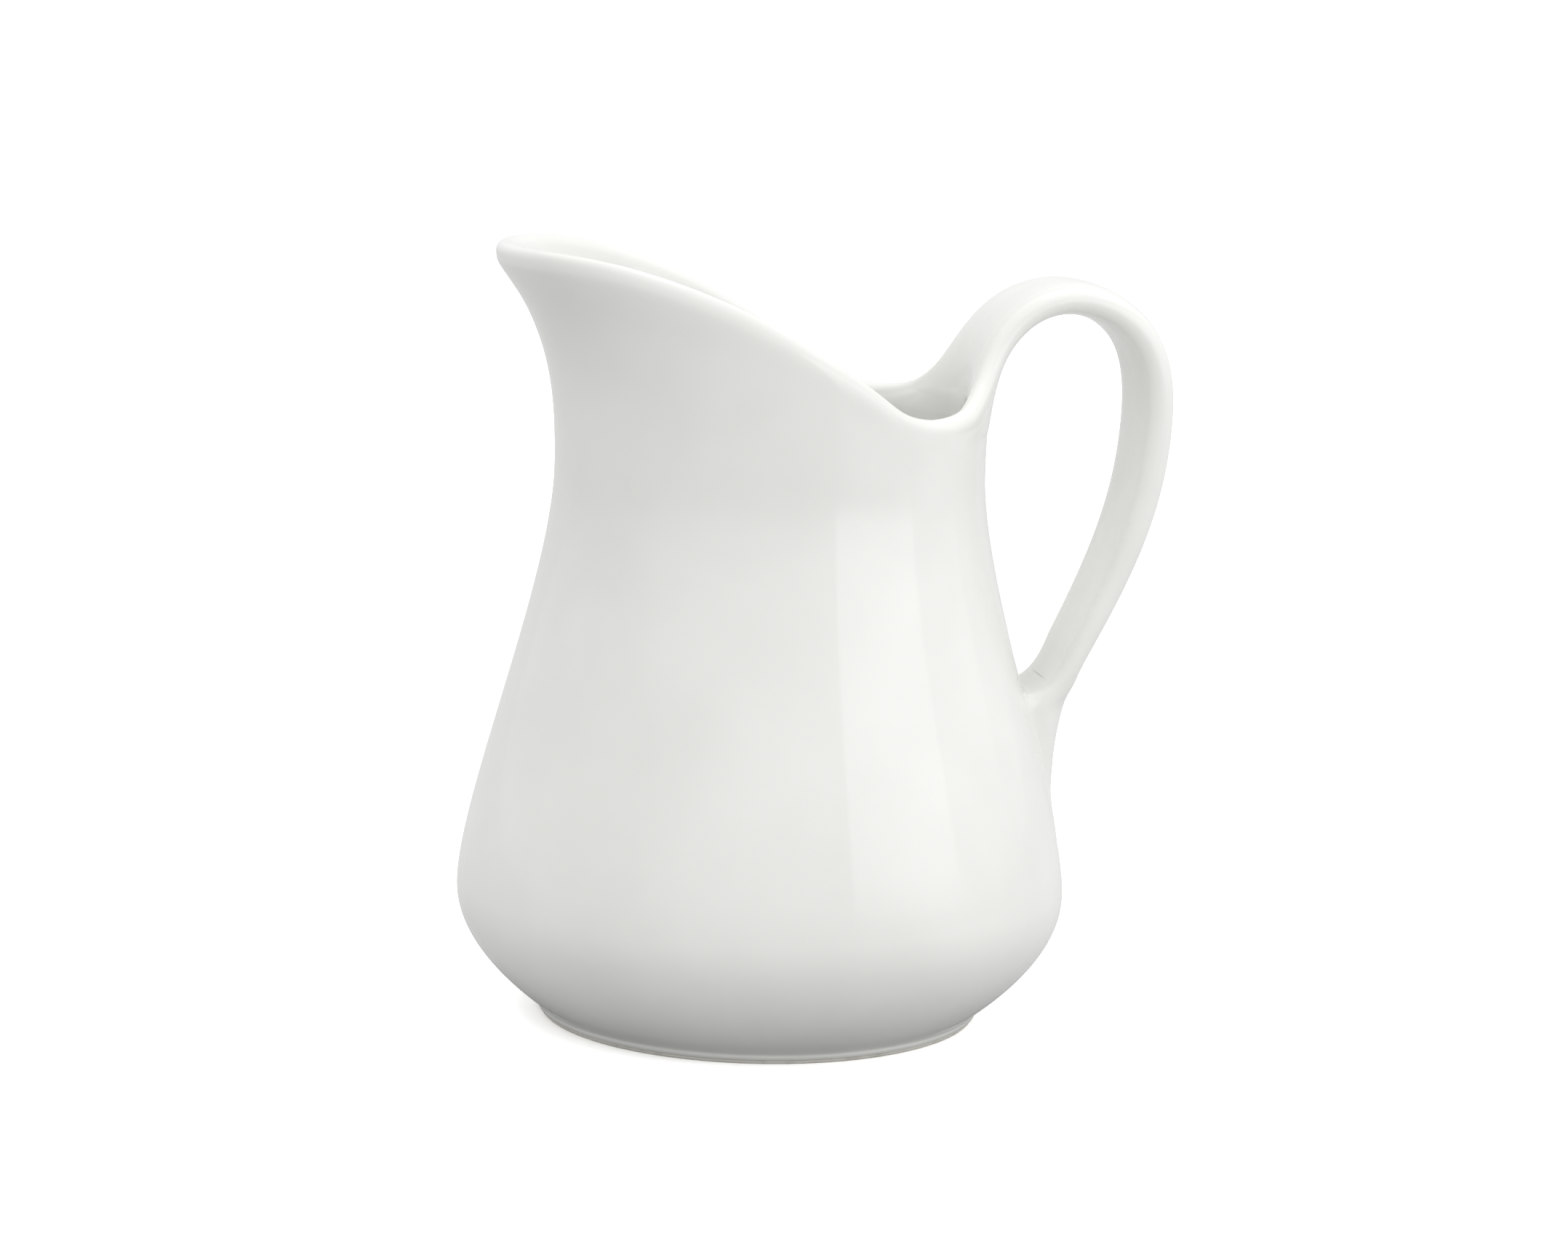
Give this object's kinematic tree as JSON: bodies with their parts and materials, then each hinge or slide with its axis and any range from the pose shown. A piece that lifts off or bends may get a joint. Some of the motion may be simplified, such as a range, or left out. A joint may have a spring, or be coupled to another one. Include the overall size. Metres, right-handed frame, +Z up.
{
  "type": "ceramic pitcher",
  "caption": "Glazed porcelain pitcher with a flared oval mouth that rises to a spout, a rounded belly on a bare foot ring, and a strap handle that carries on from the rim.",
  "frame": {"origin": "centre of the foot ring, on the plane that the pitcher rests on", "axes": "+Z up, spout towards -X, handle towards +X"},
  "size_m": [0.1439, 0.124, 0.1576],
  "materials": {
    "glaze": "clear gloss glaze over white porcelain",
    "bisque": "bare fired porcelain, smooth and matte"
  },
  "bodies": {
    "root": {"vessel_body": "glaze", "foot_ring": "bisque", "handle": "glaze", "upper_joint_slip": "glaze", "lower_joint_slip": "glaze"}
  },
  "joints": []
}
